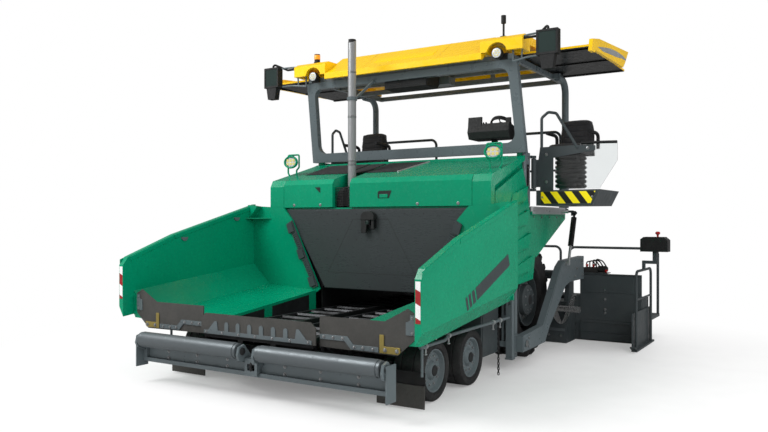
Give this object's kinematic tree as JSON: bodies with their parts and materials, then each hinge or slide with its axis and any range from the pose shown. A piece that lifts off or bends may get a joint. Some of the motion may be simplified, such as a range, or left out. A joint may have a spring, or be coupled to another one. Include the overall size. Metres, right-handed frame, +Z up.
{
  "type": "asphalt paver",
  "caption": "Wheeled asphalt paver with folding hopper wings, push rollers, canopy platform with swing-out seats, augers and an extending towed screed.",
  "frame": {"origin": "centre of the bounding box on the ground plane, under the middle of the machine", "axes": "+X to the machine's left, -Y forward past the hopper, +Y to the screed, +Z up"},
  "size_m": [5.474, 6.239, 3.99],
  "materials": {
    "hood_green": "gloss",
    "roof_yellow": "gloss",
    "frame_grey": "satin",
    "arm_grey": "satin",
    "shield_grey": "satin",
    "black_steel": "satin",
    "worn_steel": "worn",
    "stack_chrome": "polished",
    "engine_iron": "matt",
    "tyre_rubber": "matt",
    "sheet_rubber": "matt",
    "dark_plastic": "matt",
    "seat_cover": "matt",
    "clear_pane": "clear",
    "lamp_housing": "matt"
  },
  "bodies": {
    "tractor": {"chassis": "black_steel", "axle_beams": "black_steel", "conveyor_chains": "black_steel", "engine_block": "engine_iron", "hopper_shield": "shield_grey", "rubber_skirts": "sheet_rubber", "hood_base": "hood_green", "exhaust_stack": "stack_chrome", "canopy_frame": "frame_grey", "roof_shell": "roof_yellow", "lamps": "lamp_housing", "mirrors_and_mast": "dark_plastic", "platform": "frame_grey"},
    "knuckle_front_left": {"knuckle_front_left": "black_steel"},
    "wheel_front_left": {"tyre_front_left": "tyre_rubber", "rim_front_left": "frame_grey"},
    "knuckle_front_right": {"knuckle_front_right": "black_steel"},
    "wheel_front_right": {"tyre_front_right": "tyre_rubber", "rim_front_right": "frame_grey"},
    "knuckle_mid_left": {"knuckle_mid_left": "black_steel"},
    "wheel_mid_left": {"tyre_mid_left": "tyre_rubber", "rim_mid_left": "frame_grey"},
    "knuckle_mid_right": {"knuckle_mid_right": "black_steel"},
    "wheel_mid_right": {"tyre_mid_right": "tyre_rubber", "rim_mid_right": "frame_grey"},
    "wheel_rear_left": {"tyre_rear_left": "tyre_rubber", "rim_rear_left": "frame_grey"},
    "wheel_rear_right": {"tyre_rear_right": "tyre_rubber", "rim_rear_right": "frame_grey"},
    "push_beam": {"push_beam": "frame_grey"},
    "push_roller_left": {"push_roller_left": "worn_steel"},
    "push_roller_right": {"push_roller_right": "worn_steel"},
    "hopper_wing_left": {"hopper_wing_left": "hood_green", "wing_flap_left": "sheet_rubber"},
    "hopper_wing_right": {"hopper_wing_right": "hood_green", "wing_flap_right": "sheet_rubber"},
    "side_door_left": {"side_door_left": "hood_green"},
    "side_door_right": {"side_door_right": "hood_green"},
    "hood_lid_left": {"hood_lid_left": "hood_green"},
    "hood_lid_right": {"hood_lid_right": "hood_green"},
    "console": {"console": "dark_plastic"},
    "seat_unit_left": {"seat_unit_left": "arm_grey", "seat_pane_left": "clear_pane"},
    "seat_left": {"seat_left": "seat_cover"},
    "seat_unit_right": {"seat_unit_right": "arm_grey", "seat_pane_right": "clear_pane"},
    "seat_right": {"seat_right": "seat_cover"},
    "awning_left": {"awning_left": "roof_yellow"},
    "awning_right": {"awning_right": "roof_yellow"},
    "tow_carriages": {"tow_carriages": "arm_grey"},
    "screed": {"tow_arms": "arm_grey", "screed": "frame_grey"},
    "lift_barrels": {"lift_barrels": "black_steel"},
    "lift_rods": {"lift_rods": "stack_chrome"},
    "auger_left": {"auger_left": "worn_steel"},
    "auger_right": {"auger_right": "worn_steel"},
    "extension_left": {"extension_left": "frame_grey"},
    "end_gate_left": {"end_gate_left": "frame_grey"},
    "extension_right": {"extension_right": "frame_grey"},
    "end_gate_right": {"end_gate_right": "frame_grey"}
  },
  "joints": [
    {"name": "front_left_steering", "type": "hinge", "parent": "tractor", "child": "knuckle_front_left", "pos_m": [1.33, -2.18, 0.28], "axis": [0, 0, 1], "range_deg": [-25, 25]},
    {"name": "front_left_wheel_spin", "type": "hinge", "parent": "knuckle_front_left", "child": "wheel_front_left", "pos_m": [1.33, -2.18, 0.28], "axis": [1, 0, 0], "continuous": true},
    {"name": "front_right_steering", "type": "hinge", "parent": "tractor", "child": "knuckle_front_right", "pos_m": [-1.33, -2.18, 0.28], "axis": [0, 0, 1], "range_deg": [-25, 25]},
    {"name": "front_right_wheel_spin", "type": "hinge", "parent": "knuckle_front_right", "child": "wheel_front_right", "pos_m": [-1.33, -2.18, 0.28], "axis": [1, 0, 0], "continuous": true},
    {"name": "mid_left_steering", "type": "hinge", "parent": "tractor", "child": "knuckle_mid_left", "pos_m": [1.33, -1.41, 0.28], "axis": [0, 0, 1], "range_deg": [-17.5, 17.5]},
    {"name": "mid_left_wheel_spin", "type": "hinge", "parent": "knuckle_mid_left", "child": "wheel_mid_left", "pos_m": [1.33, -1.41, 0.28], "axis": [1, 0, 0], "continuous": true},
    {"name": "mid_right_steering", "type": "hinge", "parent": "tractor", "child": "knuckle_mid_right", "pos_m": [-1.33, -1.41, 0.28], "axis": [0, 0, 1], "range_deg": [-17.5, 17.5]},
    {"name": "mid_right_wheel_spin", "type": "hinge", "parent": "knuckle_mid_right", "child": "wheel_mid_right", "pos_m": [-1.33, -1.41, 0.28], "axis": [1, 0, 0], "continuous": true},
    {"name": "rear_left_wheel_spin", "type": "hinge", "parent": "tractor", "child": "wheel_rear_left", "pos_m": [1.225, 0.37, 0.685], "axis": [1, 0, 0], "continuous": true},
    {"name": "rear_right_wheel_spin", "type": "hinge", "parent": "tractor", "child": "wheel_rear_right", "pos_m": [-1.225, 0.37, 0.685], "axis": [1, 0, 0], "continuous": true},
    {"name": "push_beam_swing", "type": "hinge", "parent": "tractor", "child": "push_beam", "pos_m": [0, -2.8, 0.27], "axis": [0, 0, 1], "range_deg": [-6, 6]},
    {"name": "push_roller_left_spin", "type": "hinge", "parent": "push_beam", "child": "push_roller_left", "pos_m": [0.78, -3.043, 0.44], "axis": [1, 0, 0], "continuous": true},
    {"name": "push_roller_right_spin", "type": "hinge", "parent": "push_beam", "child": "push_roller_right", "pos_m": [-0.78, -3.043, 0.44], "axis": [1, 0, 0], "continuous": true},
    {"name": "hopper_wing_left_fold", "type": "hinge", "parent": "tractor", "child": "hopper_wing_left", "pos_m": [0.75, -2, 0.52], "axis": [0, -1, 0], "range_deg": [0, 50]},
    {"name": "hopper_wing_right_fold", "type": "hinge", "parent": "tractor", "child": "hopper_wing_right", "pos_m": [-0.75, -2, 0.52], "axis": [0, 1, 0], "range_deg": [0, 50]},
    {"name": "side_door_left_hinge", "type": "hinge", "parent": "tractor", "child": "side_door_left", "pos_m": [1.46, -0.94, 1.5], "axis": [0, 0, -1], "range_deg": [0, 85]},
    {"name": "side_door_right_hinge", "type": "hinge", "parent": "tractor", "child": "side_door_right", "pos_m": [-1.46, -0.94, 1.5], "axis": [0, 0, 1], "range_deg": [0, 85]},
    {"name": "hood_lid_left_hinge", "type": "hinge", "parent": "tractor", "child": "hood_lid_left", "pos_m": [0.495, -0.105, 2.365], "axis": [-1, 0, 0], "range_deg": [0, 50]},
    {"name": "hood_lid_right_hinge", "type": "hinge", "parent": "tractor", "child": "hood_lid_right", "pos_m": [-0.91, -0.105, 2.365], "axis": [-1, 0, 0], "range_deg": [0, 50]},
    {"name": "console_slide", "type": "slide", "parent": "tractor", "child": "console", "axis": [1, 0, 0], "range_m": [-2.1, 0]},
    {"name": "seat_unit_left_swing", "type": "hinge", "parent": "tractor", "child": "seat_unit_left", "pos_m": [1.52, 0.22, 2.2], "axis": [0, 0, 1], "range_deg": [0, 90]},
    {"name": "seat_left_swivel", "type": "hinge", "parent": "seat_unit_left", "child": "seat_left", "pos_m": [1.83, 0.66, 2], "axis": [0, 0, 1], "range_deg": [-90, 0]},
    {"name": "seat_unit_right_swing", "type": "hinge", "parent": "tractor", "child": "seat_unit_right", "pos_m": [-1.52, 0.22, 2.2], "axis": [0, 0, 1], "range_deg": [0, 90]},
    {"name": "seat_right_swivel", "type": "hinge", "parent": "seat_unit_right", "child": "seat_right", "pos_m": [-1.08, 0.53, 2], "axis": [0, 0, 1], "range_deg": [-90, 0]},
    {"name": "awning_left_slide", "type": "slide", "parent": "tractor", "child": "awning_left", "axis": [1, 0, 0], "range_m": [-0.62, 0]},
    {"name": "awning_right_slide", "type": "slide", "parent": "tractor", "child": "awning_right", "axis": [-1, 0, 0], "range_m": [-0.62, 0]},
    {"name": "tow_point_height", "type": "slide", "parent": "tractor", "child": "tow_carriages", "axis": [0, 0, 1], "range_m": [0, 0.2]},
    {"name": "screed_lift", "type": "hinge", "parent": "tow_carriages", "child": "screed", "pos_m": [1.58, -0.33, 0.275], "axis": [1, 0, 0], "range_deg": [0, 10]},
    {"name": "lift_barrel_swing", "type": "hinge", "parent": "tractor", "child": "lift_barrels", "pos_m": [1.675, 1.3, 1.74], "axis": [1, 0, 0], "range_deg": [-23.75, 0]},
    {"name": "lift_rod_slide", "type": "slide", "parent": "lift_barrels", "child": "lift_rods", "axis": [0, 0.3639, 0.9315], "range_m": [0, 0.1023]},
    {"name": "auger_left_spin", "type": "hinge", "parent": "tractor", "child": "auger_left", "pos_m": [0.9, 1.29, 0.49], "axis": [1, 0, 0], "continuous": true},
    {"name": "auger_right_spin", "type": "hinge", "parent": "tractor", "child": "auger_right", "pos_m": [-0.9, 1.29, 0.49], "axis": [1, 0, 0], "continuous": true},
    {"name": "extension_left_slide", "type": "slide", "parent": "screed", "child": "extension_left", "axis": [1, 0, 0], "range_m": [-0.6, 0.4]},
    {"name": "end_gate_left_lift", "type": "slide", "parent": "extension_left", "child": "end_gate_left", "axis": [0, 0, 1], "range_m": [0, 0.15]},
    {"name": "extension_right_slide", "type": "slide", "parent": "screed", "child": "extension_right", "axis": [-1, 0, 0], "range_m": [-0.6, 0.4]},
    {"name": "end_gate_right_lift", "type": "slide", "parent": "extension_right", "child": "end_gate_right", "axis": [0, 0, 1], "range_m": [0, 0.15]}
  ],
  "couplings": [
    {"joint": "front_right_steering", "follows": "front_left_steering", "ratio": 1},
    {"joint": "mid_left_steering", "follows": "front_left_steering", "ratio": 0.7},
    {"joint": "mid_right_steering", "follows": "front_left_steering", "ratio": 0.7},
    {"joint": "lift_barrel_swing", "follows": "screed_lift", "ratio": -2.375},
    {"joint": "lift_rod_slide", "follows": "screed_lift", "m_per_rad": 0.5861}
  ]
}
